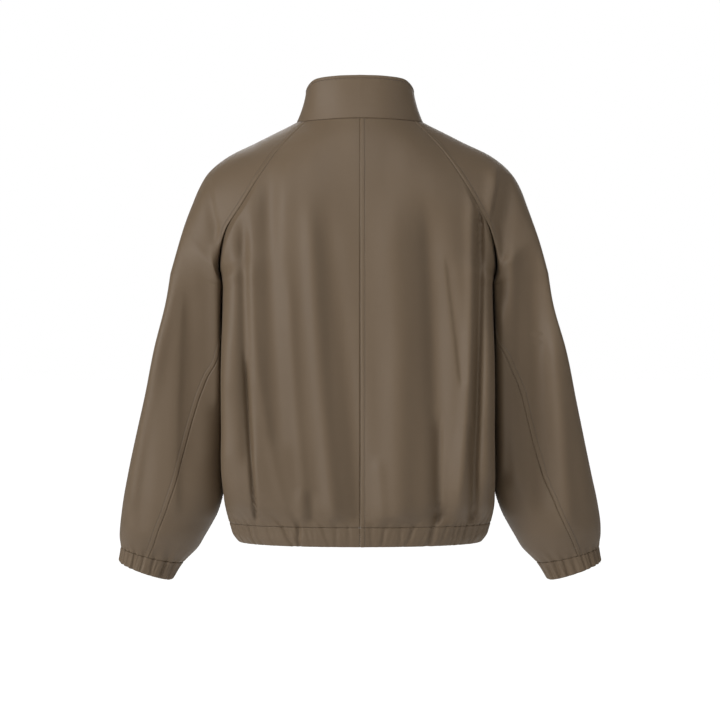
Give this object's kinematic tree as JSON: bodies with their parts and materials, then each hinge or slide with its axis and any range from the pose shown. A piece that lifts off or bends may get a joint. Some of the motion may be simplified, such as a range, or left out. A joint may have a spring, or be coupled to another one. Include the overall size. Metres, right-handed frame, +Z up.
{
  "type": "bomber jacket",
  "caption": "Raglan-sleeved bomber jacket, filled out as worn, with a stand collar, a front zip closed to the top, and gathered hem band and cuffs.",
  "frame": {"origin": "the middle of the neck, at the height of the collar seam at the centre back", "axes": "+Z up, the front towards -Y, +X on the wearer's left"},
  "size_m": [0.725, 0.2646, 0.7493],
  "materials": {
    "cloth": "plain-woven brown cloth with a soft sheen",
    "zip_tape": "dark brown woven tape",
    "zip_metal": "dull bronze-coloured metal"
  },
  "bodies": {
    "jacket": {"back_left": "cloth", "back_right": "cloth", "front_left": "cloth", "front_right": "cloth", "sleeve_left": "cloth", "sleeve_right": "cloth", "undersleeve_left": "cloth", "undersleeve_right": "cloth", "collar": "cloth", "hem_band_back_left": "cloth", "hem_band_back_right": "cloth", "hem_band_front_left": "cloth", "hem_band_front_right": "cloth", "cuff_left": "cloth", "cuff_right": "cloth", "zip_tape_left": "zip_tape", "zip_tape_right": "zip_tape", "zip_chain": "zip_metal", "zip_slider": "zip_metal", "zip_stop_box": "zip_metal"},
    "pull_tab": {"zip_pull_tab": "zip_metal"}
  },
  "joints": [
    {"name": "pull_tab_hinge", "type": "hinge", "parent": "jacket", "child": "pull_tab", "pos_m": [0, -0.07857, 0.00912], "axis": [-1, 0, 0], "range_deg": [0, 150]}
  ]
}
